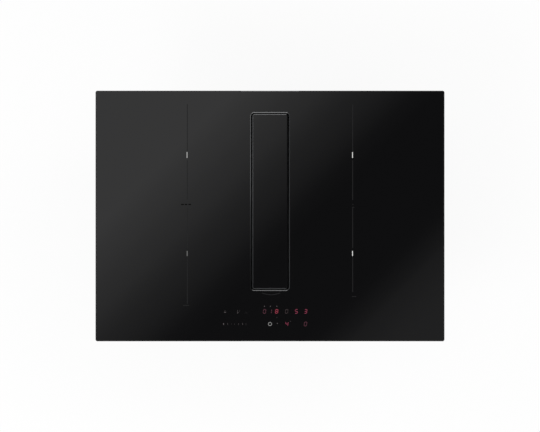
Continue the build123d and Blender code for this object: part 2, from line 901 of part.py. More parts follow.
def blower_ring():
    """The ring that joins the tops of the blades."""
    ring = wheel_disc(wheel_radius, wheel_ring_z, wheel_top_z)
    ring -= wheel_disc(blade_inner_radius, wheel_ring_z, wheel_top_z)
    return Pos(scroll_x, scroll_y, 0) * ring


def motor_rotor():
    """The motor's shaft, which carries the wheel, with the rotor's iron core pressed on it."""
    shaft = post(motor_shaft_radius, motor_low_z, shaft_end_z)
    core = wheel_disc(stator_bore - air_gap, stator_low_z, stator_top_z)
    return Pos(scroll_x, scroll_y, 0) * (shaft + core)


def motor_outline():
    """The motor's eight-sided outline."""
    return RegularPolygon(motor_radius, motor_sides)


def motor_turns():
    """The turns about the motor's axis that bring one leg to the place of each."""
    return [Rot(0, 0, 360 * i / motor_legs) for i in range(motor_legs)]


def motor_stator():
    """The stack of stator sheets."""
    stack = Pos(0, 0, stator_low_z) * extrude(motor_outline(), stator_height)
    stack -= wheel_disc(stator_bore, stator_low_z, stator_top_z)
    return Pos(scroll_x, scroll_y, 0) * stack


def motor_shields():
    """The end shields under and over the stator, each a plate with a bearing seat and legs."""
    plate = Pos(0, 0, motor_low_z) * extrude(motor_outline(), bearing_width)
    plate -= post(bearing_radius, motor_low_z, motor_low_z + bearing_width)
    leg_place = (stator_bore + motor_radius) / 2
    leg = slab(shield_leg, shield_leg, motor_low_z + bearing_width, stator_low_z, leg_place)
    plate += [turn * leg for turn in motor_turns()]
    other = mirror(plate, about=Plane.XY.offset((motor_low_z + motor_top_z) / 2))
    return group(Pos(scroll_x, scroll_y, 0) * shield for shield in (plate, other))


def motor_bearings():
    """A ball bearing in each shield."""
    bore = motor_shaft_radius + running_clearance
    outer = bearing_radius - fixed_clearance
    return group(
        tube(outer, bore, low, low + bearing_width, scroll_x, scroll_y)
        for low in (motor_low_z, motor_top_z - bearing_width)
    )


def motor_mounts():
    """Four rubber blocks between the motor and the casing's floor."""
    place = (stator_bore + motor_radius) / 2
    rubber = slab(rubber_width, rubber_width, moulding, motor_low_z, place)
    return group(Pos(scroll_x, scroll_y, 0) * turn * rubber for turn in motor_turns())


# ---- Induction coils ----------------------------------------------------------------------------

def zone_centre(side, row):
    """The middle of one cooking zone: side -1 left or 1 right, row -1 front or 1 rear."""
    return side * zone_x, zone_middle_y + row * zone_pitch / 2


def coil_windings():
    """The four flat windings, each wound on a rounded rectangle."""
    rings = []
    hole_length = coil_hole + coil_length - coil_width
    for side in (-1, 1):
        for row in (-1, 1):
            place = zone_centre(side, row)
            ring = rounded(coil_width, coil_length, coil_corner, former_top_z, coil_top_z, *place)
            ring -= rounded(
                coil_hole, hole_length, coil_hole_corner, former_top_z, coil_top_z, *place
            )
            rings.append(ring)
    return group(rings)


def sensor_hole(side, row, z_low, z_high):
    """A cutter that leaves room for a zone's temperature sensor."""
    width = sensor_width + 2 * easy_clearance
    return slab(width, width, z_low, z_high, *zone_centre(side, row))


def coil_former(side, row):
    """The moulded plate with cut corners that carries one winding."""
    plate = slab(
        coil_width + 2 * former_margin, coil_length + 2 * former_margin,
        ferrite_top_z, former_top_z, *zone_centre(side, row),
    )
    plate = chamfer(plate.edges().filter_by(Axis.Z), former_cut)
    return plate - sensor_hole(side, row, ferrite_top_z, former_top_z)


def ferrite_bars():
    """Rows of ferrite bars under the formers, clear of the sensors."""
    bars = []
    for side in (-1, 1):
        for row in (-1, 1):
            x, y = zone_centre(side, row)
            length = coil_length - 2 * former_cut
            for i in range(ferrite_count):
                bar_x = x + (i - (ferrite_count - 1) / 2) * ferrite_pitch
                bars.append(slab(ferrite_width, length, plate_top_z, ferrite_top_z, bar_x, y))
    return group(bars)


def coil_plate(side):
    """The aluminium plate under one pair of coils, folded down to the housing's floor."""
    low = plate_top_z - plate_sheet
    plate = slab(plate_width, plate_length, tray_floor_z, plate_top_z)
    plate -= slab(plate_width - 2 * plate_sheet, plate_length, tray_floor_z, low)
    plate -= slab(plate_width, plate_length - 2 * plate_leg, tray_floor_z, low - plate_leg)
    return Pos(side * zone_x, zone_middle_y, 0) * plate


def coil_blanket(side):
    """The heat blanket between one pair of coils and the glass, open over the sensors."""
    sheet = slab(
        plate_width, plate_length, coil_top_z, glass_under_z, side * zone_x, zone_middle_y
    )
    for row in (-1, 1):
        sheet -= sensor_hole(side, row, coil_top_z, glass_under_z)
    return sheet


def coil_sensors():
    """A temperature sensor in the middle of each coil, pressed up against the glass."""
    return group(
        slab(sensor_width, sensor_width, plate_top_z, glass_under_z, *zone_centre(side, row))
        for side in (-1, 1)
        for row in (-1, 1)
    )


# ---- Power electronics --------------------------------------------------------------------------

def board_lane(side, lane):
    """The middle in X of a board's inner (-1) or outer (1) half."""
    return side * (zone_x + lane * board_width / 4)


def power_board(side):
    """One power board with its soldered capacitors, choke and relays, from the back forwards."""
    board = slab(board_width, board_length, board_z, board_top_z, side * zone_x, board_y)
    parts = [(capacitor_width, capacitor_length, capacitor_height)] * capacitor_count
    parts += [(choke_width, choke_length, choke_height)]
    parts += [(relay_width, relay_length, relay_height)] * relay_count
    edge = board_y + board_length / 2
    for width, length, height in parts:
        edge -= component_margin + length
        y = edge + length / 2
        board += slab(width, length, board_top_z, board_top_z + height, board_lane(side, -1), y)
    return board


def board_rails():
    """Two plastic rails under each power board."""
    place = board_width / 2 - board_rail_width
    return group(
        slab(board_rail_width, board_length, tray_floor_z, board_z, side * zone_x + x, board_y)
        for side in (-1, 1)
        for x in (-place, place)
    )


def heat_sink(side):
    """The finned aluminium extrusion on one power board, with its fins along the air stream."""
    x = board_lane(side, 1)
    y = board_front_y + component_margin + heat_sink_length / 2
    half = heat_sink_width / 2
    sink = slab(
        heat_sink_width, heat_sink_length, board_top_z, board_top_z + heat_sink_base, x, y
    )
    step = (heat_sink_width - fin_thickness) / (fin_count - 1)
    for i in range(fin_count):
        fin_x = x - half + fin_thickness / 2 + i * step
        sink += slab(
            fin_thickness, heat_sink_length,
            board_top_z + heat_sink_base, board_top_z + heat_sink_height, fin_x, y,
        )
    return sink


# ---- Cooling blowers ----------------------------------------------------------------------------

def cooling_housing(side):
    """The spiral housing of one cooling blower, open to the floor's louvres and the heat sink."""
    start = cooling_radius + cooling_gap
    air = scroll_profile(
        start, cooling_growth, cooling_reach, cooling_exit_left, tongue_angle, cooling_tongue
    )
    ceiling = cooling_top_z - cooling_wall
    edge = start + 3 * cooling_growth
    shell = block(
        -edge, edge + cooling_wall, -edge, cooling_reach, tray_floor_z, cooling_top_z
    )
    shell -= Pos(0, 0, tray_floor_z) * extrude(air, ceiling - tray_floor_z)
    shell -= post(cooling_pin + running_clearance, ceiling, cooling_top_z)
    shell = Pos(cooling_x, cooling_y, 0) * shell
    return shell if side > 0 else mirrored(shell)


def cooling_housings():
    """The spiral housings of both cooling blowers."""
    return group(cooling_housing(side) for side in (-1, 1))


def cooling_rotor(side):
    """The rotor of one cooling blower: a hub with blades, on a pin in the housing's top."""
    low = tray_floor_z + slide_clearance
    high = cooling_top_z - cooling_wall - slide_clearance
    rotor = Pos(0, 0, low) * extrude(RegularPolygon(cooling_hub, cooling_blades), high - low)
    rotor += post(cooling_pin, high, cooling_top_z)
    half = cooling_blade / 2
    blade = block(cooling_hub - cooling_blade, cooling_radius, -half, half, low, high)
    rotor += [Rot(0, 0, 360 * i / cooling_blades) * blade for i in range(cooling_blades)]
    rotor = Pos(cooling_x, cooling_y, 0) * rotor
    return rotor if side > 0 else mirrored(rotor)


# ---- Touch controls -----------------------------------------------------------------------------

def control_carrier():
    """The moulded frame that holds the control board under the glass, on four legs."""
    low = control_board_z - control_wall
    high = glass_under_z - control_wall
    frame = slab(control_width, control_depth, low, high)
    frame -= slab(
        control_width - 2 * control_wall, control_depth - 2 * control_wall, control_board_z, high
    )
    for x in (-1, 1):
        for y in (-1, 1):
            frame += slab(
                control_leg, control_leg, tray_floor_z, low,
                x * (control_width - control_leg) / 2, y * (control_depth - control_leg) / 2,
            )
    return Pos(0, control_y, 0) * frame


def control_board():
    """The control board in its frame."""
    wall = control_wall + easy_clearance
    return slab(
        control_width - 2 * wall, control_depth - 2 * wall,
        control_board_z, control_board_z + board_thickness, 0, control_y,
    )


def control_blocks(columns, width, length, z_high):
    """Blocks on the control board, one for each place of the two rows."""
    low = control_board_z + board_thickness
    return group(
        slab(width, length, low, z_high, x, control_y + y)
        for y, row in zip(control_rows, columns)
        for x in row
    )


def display_digits():
    """The seven-segment displays, one block for each digit, just under the glass."""
    return control_blocks(digit_columns, digit_width, digit_length, glass_under_z - easy_clearance)


def touch_pads():
    """The conductive foam pads that join the touch keys to the glass."""
    return control_blocks(key_columns, key_width, key_width, glass_under_z)


# ---- Mains connection ---------------------------------------------------------------------------

def terminal_block():
    """The mains terminals: a moulded block with a chamber for each wire."""
    top = tray_floor_z + terminal_height
    body = slab(terminal_width, terminal_depth, tray_floor_z, top, mains_x, terminal_y)
    step = terminal_width / terminal_ways
    for i in range(terminal_ways):
        x = mains_x + (i - (terminal_ways - 1) / 2) * step
        body -= slab(step / 2, terminal_depth, top - terminal_height / 2, top, x, terminal_y)
    return body


def cable_gland():
    """The gland that snaps into the rear wall: a block, its rim and the nut that grips the cable."""
    wall_y = housing_depth / 2
    inner_y = wall_y - gland_inside
    rim_y = wall_y + gland_rim
    nut_y = rim_y + gland_nut_length
    half = gland_width / 2 - easy_clearance
    rim = gland_width / 2 + gland_rim
    nut = Plane.XZ * RegularPolygon(gland_nut_radius, 6)
    gland = block(-half, half, inner_y, wall_y, gland_z - half, gland_z + half)
    gland += block(-rim, rim, wall_y, rim_y, gland_z - rim, gland_z + rim)
    gland += Pos(0, rim_y, gland_z) * extrude(nut, -gland_nut_length)
    return Pos(mains_x, 0, 0) * (gland - bar_along_y(gland_bore, inner_y, nut_y, 0, gland_z))


# ---- The nodes ----------------------------------------------------------------------------------

def all_nodes():
    """Every piece of the cooktop by its node's name."""
    single = [
        glass_top, rim_seal, glass_bond, collar_bond, intake_collar, basket_seat, intake_shaft,
        flap_glass, flap_carrier, flap_pins, filter_basket, basket_floor, filter_grip,
        housing_tray, fixing_clips,
        casing_base, scroll_deck, plenum_cover, outlet_spigot, drip_drawer,
        blower_wheel, blower_blades, blower_ring,
        motor_rotor, motor_stator, motor_shields, motor_bearings, motor_mounts,
        coil_windings, ferrite_bars, coil_sensors, board_rails, cooling_housings,
        control_carrier, control_board, display_digits, touch_pads, terminal_block, cable_gland,
    ]
    paired = [
        grease_filter_frame, grease_filter_mesh, coil_plate, coil_blanket,
        power_board, heat_sink, cooling_rotor,
    ]
    nodes = {make.__name__: make() for make in single}
    for name, side in SIDES.items():
        nodes |= {f"{make.__name__}_{name}": make(side) for make in paired}
        for row_name, row in ROWS.items():
            nodes[f"coil_former_{row_name}_{name}"] = coil_former(side, row)
    return nodes


os.makedirs("parts", exist_ok=True)
for node_name, shape in all_nodes().items():
    export_step(shape, f"parts/{node_name}.step")
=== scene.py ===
"""Looks of the downdraft induction cooktop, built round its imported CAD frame."""

import bmesh
import bpy
import numpy as np
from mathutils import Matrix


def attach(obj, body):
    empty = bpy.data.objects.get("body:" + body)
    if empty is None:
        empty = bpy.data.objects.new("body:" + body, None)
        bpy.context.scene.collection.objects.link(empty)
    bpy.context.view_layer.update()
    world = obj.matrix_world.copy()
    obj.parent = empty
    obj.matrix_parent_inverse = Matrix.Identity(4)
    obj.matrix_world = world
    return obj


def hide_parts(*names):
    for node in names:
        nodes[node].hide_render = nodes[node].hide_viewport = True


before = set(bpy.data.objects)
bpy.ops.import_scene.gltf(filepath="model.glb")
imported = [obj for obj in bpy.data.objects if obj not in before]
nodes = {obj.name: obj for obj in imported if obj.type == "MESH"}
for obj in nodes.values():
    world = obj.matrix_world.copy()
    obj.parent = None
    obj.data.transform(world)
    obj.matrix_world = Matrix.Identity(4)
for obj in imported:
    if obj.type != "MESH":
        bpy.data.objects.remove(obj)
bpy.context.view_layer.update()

# ---- Camera ------------------------------------------------------------------------------------
# The photograph looks straight down on the middle of the glass from about three metres.
# Its frame takes in 1113.7 mm at the level of the glass.
camera_height = 3.3056
lens = bpy.data.cameras.new("camera")
lens.lens = 100
lens.sensor_width = 36
camera = bpy.data.objects.new("camera", lens)
camera.location = (0, 0, camera_height)
bpy.context.scene.collection.objects.link(camera)
bpy.context.scene.camera = camera
bpy.context.scene.view_settings.view_transform = "Standard"

# ---- Studio ------------------------------------------------------------------------------------
# A pale floor in white air, with broad soft lamps from the front left and the back right. Only
# reflections see the card overhead. It darkens from the back left towards the front right, and
# gets a little paler again in that corner.


def rgb(code):
    """Linear RGBA from an sRGB hex colour."""
    shares = [int(code[i:i + 2], 16) / 255 for i in (0, 2, 4)]
    return [s / 12.92 if s <= 0.04045 else ((s + 0.055) / 1.055) ** 2.4 for s in shares] + [1.0]


def add(tree, kind, settings=None, stops=(), **inputs):
    """Adds a shader node with its settings and links, and the stops of a colour ramp.

    An input, named with _ for a space, takes a value or another socket. A stop is a place from 0
    to 1 and a linear colour.
    """
    node = tree.nodes.new("ShaderNode" + kind)
    for key, value in (settings or {}).items():
        setattr(node, key, value)
    for _ in stops[2:]:
        node.color_ramp.elements.new(0.5)
    for i, (place, colour) in enumerate(stops):
        node.color_ramp.elements[i].position = place
        node.color_ramp.elements[i].color = colour
    for key, value in inputs.items():
        socket = node.inputs[int(key[1:]) if key[1:].isdigit() else key.replace("_", " ")]
        if isinstance(value, bpy.types.NodeSocket):
            tree.links.new(value, socket)
        else:
            socket.default_value = value
    return node


def blank(name):
    """A new material with only its output, as (material, tree, output)."""
    finish = bpy.data.materials.new(name)
    finish.use_nodes = True
    finish.node_tree.nodes.clear()
    return finish, finish.node_tree, add(finish.node_tree, "OutputMaterial")


def mesh_object(name, points, faces, finish, smooth=False):
    """A mesh object at the origin from points in mm and faces, with one finish."""
    mesh = bpy.data.meshes.new(name)
    mesh.from_pydata((np.asarray(points) / 1000).tolist(), [], [tuple(f) for f in faces])
    mesh.materials.append(finish)
    mesh.polygons.foreach_set("use_smooth", [smooth] * len(mesh.polygons))
    mesh.update()
    made = bpy.data.objects.new(name, mesh)
    bpy.context.scene.collection.objects.link(made)
    return made


def level_sheet(name, half_width, half_depth, height, finish):
    """A flat rectangle about the origin at a height in mm."""
    corners = [(-half_width, -half_depth, height), (half_width, -half_depth, height),
               (half_width, half_depth, height), (-half_width, half_depth, height)]
    return mesh_object(name, corners, [(0, 1, 2, 3)], finish)


def looked_at(tree):
    """1 for a ray from the camera, straight, mirrored or through glass, and 0 for one of light."""
    path = add(tree, "LightPath").outputs
    seen = add(tree, "Math", {"operation": "MAXIMUM"}, _0=path["Is Camera Ray"],
               _1=path["Is Glossy Ray"])
    seen = add(tree, "Math", {"operation": "MAXIMUM"}, _0=seen.outputs[0],
               _1=path["Is Transmission Ray"])
    return seen.outputs[0]


floor_half = 8000
floor_height = -0.3
paper_share = 0.9
floor_paint, tree, out = blank("matt_white_floor_paint")
# Seen straight, it is paper white, and a tenth of it still takes the soft shadow of the object.
grain = add(tree, "TexNoise", Vector=add(tree, "TexCoord").outputs["Object"], Scale=40.0)
tone = add(tree, "ValToRGB", stops=[(0, rgb("f2f2f2")), (1, rgb("f8f8f8"))],
           Fac=grain.outputs["Fac"])
chalk = add(tree, "BsdfDiffuse", Color=tone.outputs["Color"])
glow = add(tree, "Emission", Color=(1, 1, 1, 1), Strength=1.0)
share = add(tree, "Math", {"operation": "MULTIPLY"}, _0=looked_at(tree), _1=paper_share)
white = add(tree, "MixShader", Fac=share.outputs[0], _1=chalk.outputs[0], _2=glow.outputs[0])
below = add(tree, "BsdfTransparent")
under_side = add(tree, "NewGeometry").outputs["Backfacing"]
white = add(tree, "MixShader", Fac=under_side, _1=white.outputs[0], _2=below.outputs[0])
tree.links.new(white.outputs[0], out.inputs["Surface"])
floor = level_sheet("floor", floor_half, floor_half, floor_height, floor_paint)

card_half_width = 1300
card_half_depth = 1050
card_height = 5500
card_reach = 1.7
card_paint, tree, out = blank("reflector_card")
# Its light falls off along X - Y, which gives the glass the photograph's slanting sheen.
where = add(tree, "TexCoord").outputs["Object"]
slant = add(tree, "VectorMath", {"operation": "DOT_PRODUCT"}, _0=where, _1=(1, -1, 0))
along = add(tree, "MapRange", Value=slant.outputs["Value"], From_Min=-card_reach,
            From_Max=card_reach)
# Each pair is a place along X - Y in metres and the light's level there.
levels = [(-0.900, 0.81), (-0.827, 0.747), (-0.771, 0.687), (-0.648, 0.60), (-0.564, 0.52),
          (-0.413, 0.424), (-0.313, 0.315), (-0.224, 0.24), (-0.089, 0.172), (0.006, 0.113),
          (0.061, 0.074), (0.117, 0.04), (0.246, 0.01), (0.860, 0.01), (0.944, 0.02),
          (0.983, 0.039), (1.050, 0.074), (1.112, 0.113), (1.151, 0.156), (1.240, 0.188),
          (1.330, 0.222), (1.447, 0.25), (1.615, 0.26)]
stops = [((place + card_reach) / (2 * card_reach), (level, level, level, 1))
         for place, level in levels]
fall = add(tree, "ValToRGB", stops=stops, Fac=along.outputs["Result"])
light = add(tree, "Emission", Color=fall.outputs["Color"], Strength=1.0)
tree.links.new(light.outputs[0], out.inputs["Surface"])
card = level_sheet("card", card_half_width, card_half_depth, card_height, card_paint)
for ray in ("camera", "diffuse", "transmission", "volume_scatter", "shadow"):
    setattr(card, "visible_" + ray, False)

air_light = 0.6
sky = bpy.data.worlds.new("studio")
sky.use_nodes = True
tree = sky.node_tree
tree.nodes.clear()
level = add(tree, "MapRange", Value=looked_at(tree), To_Min=air_light)
air = add(tree, "Background", Color=(1, 1, 1, 1), Strength=level.outputs["Result"])
tree.links.new(air.outputs[0], add(tree, "OutputWorld").inputs["Surface"])
bpy.context.scene.world = sky

lamp_width = 1.8
lamp_height = 1.2
# Each lamp has its place in metres, its turn in radians and its power in watts.
for name, place, turn, power in (("lamp_front", (-1.9, -1.9, 2.2), (0.88, 0, -0.785), 55.0),
                                 ("lamp_back", (2.2, 1.6, 1.9), (-0.96, 0, -0.94), 30.0)):
    lamp = bpy.data.lights.new(name, "AREA")
    lamp.shape = "RECTANGLE"
    lamp.size = lamp_width
    lamp.size_y = lamp_height
    lamp.energy = power
    holder = bpy.data.objects.new(name, lamp)
    holder.location = place
    holder.rotation_euler = turn
    holder.visible_glossy = False
    bpy.context.scene.collection.objects.link(holder)

# ---- Glass plate and flap ----------------------------------------------------------------------
# Black glass-ceramic 4 mm thick, polished on top, with its edges ground to a satin bevel.
# The flap is cut from the same glass and lies flush in the vent.


def paint(finish, *names):
    """Gives CAD nodes a finish."""
    for name in names:
        nodes[name].data.materials.clear()
        nodes[name].data.materials.append(finish)


# Lengths are in metres here. A limit is the share of the surface's normal that points upward,
# along Y or forward, and a grade says how pale the ground edge is, from 0 to 1; its change from
# end to end and side to side is painted light and shade.
vent_reach = 0.06
flat_limit = 0.95
end_limit = 0.62
front_limit = -0.5
rear_end_lit_grade = 0.92
front_end_shaded_grade = 0.54
painted_side_fade_start = -0.16
painted_side_fade_end = 0.1
painted_side_fade_top = 0.68
left_facing_lit_grade_base = 0.5
left_facing_lit_grade_gain = 0.16
glass_ior = 1.5
glass_roughness = 0.02
ground_roughness = 0.4
black_glass, tree, out = blank("polished_black_glass_ceramic_with_ground_edge")
# The flat faces and the outer edge mirror the studio. Round the vent the edge is ground satin, so
# it shows as a pale line. Its paleness is painted light and shade, as if lit from the back left:
# the line is palest at the back end, keeps nearly one tone where an edge faces left, and fades to
# the front where the plate's faces right.
spot = add(tree, "TexCoord").outputs
facing = add(tree, "SeparateXYZ", Vector=spot["Normal"]).outputs
place = add(tree, "SeparateXYZ", Vector=spot["Object"]).outputs
upright = add(tree, "Math", {"operation": "ABSOLUTE"}, _0=facing["Z"])
tilted = add(tree, "Math", {"operation": "LESS_THAN"}, _0=upright.outputs[0], _1=flat_limit)
off_axis = add(tree, "Math", {"operation": "ABSOLUTE"}, _0=place["X"])
inside = add(tree, "Math", {"operation": "LESS_THAN"}, _0=off_axis.outputs[0], _1=vent_reach)
along = add(tree, "Math", {"operation": "ABSOLUTE"}, _0=facing["Y"])
at_end = add(tree, "Math", {"operation": "GREATER_THAN"}, _0=along.outputs[0], _1=end_limit)
# Painted light and shade on the ground edge: the front end is painted darker than the back end,
# and the edges on the left side fade towards the front.
front = add(tree, "Math", {"operation": "LESS_THAN"}, _0=place["Y"], _1=0.0)
forward = add(tree, "Math", {"operation": "LESS_THAN"}, _0=facing["Y"], _1=front_limit)
shaded_front_end = add(tree, "Math", {"operation": "MULTIPLY"}, _0=front.outputs[0], _1=forward.outputs[0])
end_painted_grade = add(tree, "MapRange", Value=shaded_front_end.outputs[0], To_Min=rear_end_lit_grade,
                To_Max=front_end_shaded_grade)
painted_fade = add(tree, "MapRange", {"interpolation_type": "SMOOTHSTEP"}, Value=place["Y"],
           From_Min=painted_side_fade_start, From_Max=painted_side_fade_end, To_Max=painted_side_fade_top)
left = add(tree, "Math", {"operation": "LESS_THAN"}, _0=place["X"], _1=0.0)
painted_fade = add(tree, "Math", {"operation": "MULTIPLY"}, _0=painted_fade.outputs["Result"], _1=left.outputs[0])
left_facing_lit_grade = add(tree, "Math", {"operation": "MULTIPLY_ADD"}, _0=painted_fade.outputs[0], _1=left_facing_lit_grade_gain,
           _2=left_facing_lit_grade_base)
to_right = add(tree, "Math", {"operation": "GREATER_THAN"}, _0=facing["X"], _1=0.0)
side_painted_grade = add(tree, "MapRange", Value=to_right.outputs[0], To_Min=left_facing_lit_grade.outputs[0],
                 To_Max=painted_fade.outputs[0])
painted_edge_grade = add(tree, "MapRange", Value=at_end.outputs[0], To_Min=side_painted_grade.outputs["Result"],
            To_Max=end_painted_grade.outputs["Result"])
ground_edge_and_painted_light = add(tree, "Math", {"operation": "MULTIPLY"}, _0=tilted.outputs[0],
             _1=inside.outputs[0])
ground_edge_and_painted_light = add(tree, "Math", {"operation": "MULTIPLY"}, _0=ground_edge_and_painted_light.outputs[0],
             _1=painted_edge_grade.outputs["Result"])
haze = add(tree, "TexNoise", Vector=spot["Object"], Scale=900.0, Detail=3.0)
tint = add(tree, "ValToRGB", Fac=ground_edge_and_painted_light.outputs[0],
           stops=[(0, rgb("0e0e0f")), (0.5, rgb("37383a")), (1, rgb("8a8b8c"))])
gloss = add(tree, "MapRange", Value=ground_edge_and_painted_light.outputs[0], To_Min=glass_roughness,
            To_Max=ground_roughness)
height = add(tree, "Math", {"operation": "MULTIPLY"}, _0=haze.outputs["Fac"],
             _1=ground_edge_and_painted_light.outputs[0])
grit = add(tree, "Bump", Strength=0.3, Distance=0.00004, Height=height.outputs[0])
swell = add(tree, "TexNoise", Vector=spot["Object"], Scale=9.0, Detail=1.0)
wave = add(tree, "Bump", Strength=0.05, Distance=0.0002, Height=swell.outputs["Fac"],
           Normal=grit.outputs["Normal"])
body = add(tree, "BsdfPrincipled", Base_Color=tint.outputs["Color"],
           Roughness=gloss.outputs["Result"], IOR=glass_ior, Normal=wave.outputs["Normal"])
tree.links.new(body.outputs[0], out.inputs["Surface"])
paint(black_glass, "glass_top", "flap_glass")

# ---- Print on the glass ------------------------------------------------------------------------
# Ceramic ink fired into the top of the glass: a centre line and two bars for each pair of zones,
# and cross marks half way and at the foot. The ink is matt and only a few hundredths thick.
grain_share = 0.6
cloud_share = 0.4
clouds_a_metre = 14.0
roughness_spread = 0.06


def shade(name, dark, light, grains, rough, relief, metal=0.0, stretch=(1, 1, 1), shine=0.5):
    """A finish whose colour, roughness and relief follow noise of so many grains a metre.

    Clouds of 7 cm vary the tone as well. 1400 is a grain of 0.7 mm, about the finest that a close
    view shows, and the real grain is often finer. relief is the depth of the bumps in mm, and
    shine the specular level.
    """
    finish, tree, out = blank(name)
    spot = add(tree, "Mapping", Vector=add(tree, "TexCoord").outputs["Object"], Scale=stretch)
    fine = add(tree, "TexNoise", Vector=spot.outputs[0], Scale=grains, Detail=4.0)
    broad = add(tree, "TexNoise", Vector=spot.outputs[0], Scale=clouds_a_metre, Detail=2.0)
    clouds = add(tree, "Math", {"operation": "MULTIPLY"}, _0=broad.outputs["Fac"],
                 _1=cloud_share)
    mixed = add(tree, "Math", {"operation": "MULTIPLY_ADD"}, _0=fine.outputs["Fac"],
                _1=grain_share, _2=clouds.outputs[0])
    tone = add(tree, "ValToRGB", stops=[(0.3, rgb(dark)), (0.7, rgb(light))],
               Fac=mixed.outputs[0])
    dull = add(tree, "MapRange", Value=mixed.outputs[0], To_Min=rough - roughness_spread,
               To_Max=rough + roughness_spread)
    bump = add(tree, "Bump", Strength=0.5, Distance=relief / 1000, Height=fine.outputs["Fac"])
    body = add(tree, "BsdfPrincipled", Base_Color=tone.outputs["Color"], Metallic=metal,
               Roughness=dull.outputs["Result"], Normal=bump.outputs["Normal"],
               Specular_IOR_Level=shine)
    tree.links.new(body.outputs[0], out.inputs["Surface"])
    return finish


glass_level = 212
ink_lift = 0.02
bar_lift = 0.03


def flat_print(name, outlines, lift, finish, body):
    """Printed shapes, each a ring of (x, y) in mm, that lie so many mm above the glass."""
    flat = np.concatenate(outlines)
    points = np.column_stack([flat, np.full(len(flat), glass_level + lift)])
    starts = np.cumsum([0] + [len(ring) for ring in outlines])
    faces = [range(a, b) for a, b in zip(starts[:-1], starts[1:])]
    made = mesh_object(name, points, faces, finish)
    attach(made, body)


def bar(x, y, wide, deep):
    """The outline of a bar round the point x, y."""
    a, b = wide / 2, deep / 2
    return [(x - a, y - b), (x + a, y - b), (x + a, y + b), (x - a, y + b)]


grey_ink = shade("fired_grey_ceramic_ink", "111112", "171718", 1500, 0.62, 0.01, shine=0.2)
black_ink = shade("fired_black_ceramic_ink", "080808", "0d0d0d", 1500, 0.7, 0.01, shine=0.03)
pale_ink = shade("fired_pale_ceramic_ink", "8f8f8e", "a3a3a1", 1500, 0.55, 0.01)
faint_ink = shade("fired_mid_grey_ceramic_ink", "565655", "646463", 1500, 0.6, 0.01)
white_ink = shade("fired_white_ceramic_ink", "dcdcda", "efefed", 1500, 0.55, 0.01)

zone_line_x = 170.5
zone_line_width = 1.5
left_foot_y = -181.5
right_foot_y = -156.7
rear_bar_y = 125.8
rear_bar_depth = 12.2
front_bar_y = -77.3
front_bar_depth = 10.6
left_bar_width = 2.0
right_bar_width = 1.5
right_bar_x = 170.15
tick_depth = 2.4
foot_depth = 1.4
lines = [bar(x, (low + high) / 2, zone_line_width, high - low)
         for x, foot in ((-zone_line_x, left_foot_y), (zone_line_x, right_foot_y))
         for low, high in ((foot, -84), (-66, 16), (33, 115), (134, 231))]
# Ticks and feet have their middle and their width.
ticks = [(-180.4, 23.8, 6.0), (-173.2, 23.8, 5.0), (-165.6, 23.8, 5.4)]
feet = [(-173.2, -184.4, 12.4), (173.3, -166.0, 8.2), (170.8, 23.8, 3.2), (171.8, 17.6, 5.2)]
# A shallow arc in front of the vent marks where a finger tips the flap.
arc_x, arc_y = 2.1, -112.6
arc_inner, arc_outer = 49, 50.4
arc_angles = np.radians(np.linspace(-112, -68, 15))
rim = np.column_stack([np.cos(arc_angles), np.sin(arc_angles)])
finger_arc = np.concatenate([arc_inner * rim, arc_outer * rim[::-1]]) + [arc_x, arc_y]
flat_print("zone_lines", lines + [finger_arc], ink_lift, grey_ink, "casing")
flat_print("zone_bar_rear", [bar(-171.1, rear_bar_y, left_bar_width, rear_bar_depth)], bar_lift,
           pale_ink, "casing")
flat_print("zone_bar_front", [bar(-170.8, front_bar_y, left_bar_width, front_bar_depth)], bar_lift,
           faint_ink, "casing")
flat_print("zone_bars_right", [bar(right_bar_x, rear_bar_y, right_bar_width, rear_bar_depth),
                               bar(right_bar_x, front_bar_y, right_bar_width, front_bar_depth)],
           bar_lift, white_ink, "casing")
flat_print("zone_ticks", [bar(x, y, wide, tick_depth) for x, y, wide in ticks], bar_lift,
           black_ink, "casing")
flat_print("zone_feet", [bar(x, y, wide, foot_depth) for x, y, wide in feet], bar_lift, grey_ink,
           "casing")
chevron = [(-2.4, -147.0), (0, -148.9), (2.4, -147.0), (2.4, -146.3), (0, -148.2), (-2.4, -146.3)]
flat_print("flap_mark", [chevron], ink_lift, grey_ink, "flap")

# ---- Controls ----------------------------------------------------------------------------------
# Red seven-segment digits and white key signs that shine through the glass from the board below.
# Each shape is a cleared window in the dark backing, so its face keeps the gloss of the glass.


def lit(name, colour):
    """Glass with light of that colour behind it, a little uneven between patches of 4 mm."""
    finish, tree, out = blank(name)
    spot = add(tree, "TexCoord").outputs["Object"]
    patch = add(tree, "TexNoise", Vector=spot, Scale=260.0, Detail=1.0)
    level = add(tree, "MapRange", Value=patch.outputs["Fac"], To_Min=0.7, To_Max=1.3)
    body = add(tree, "BsdfPrincipled", Base_Color=rgb("0d0d0e"), Roughness=glass_roughness,
               IOR=glass_ior, Emission_Color=rgb(colour),
               Emission_Strength=level.outputs["Result"])
    tree.links.new(body.outputs[0], out.inputs["Surface"])
    return finish


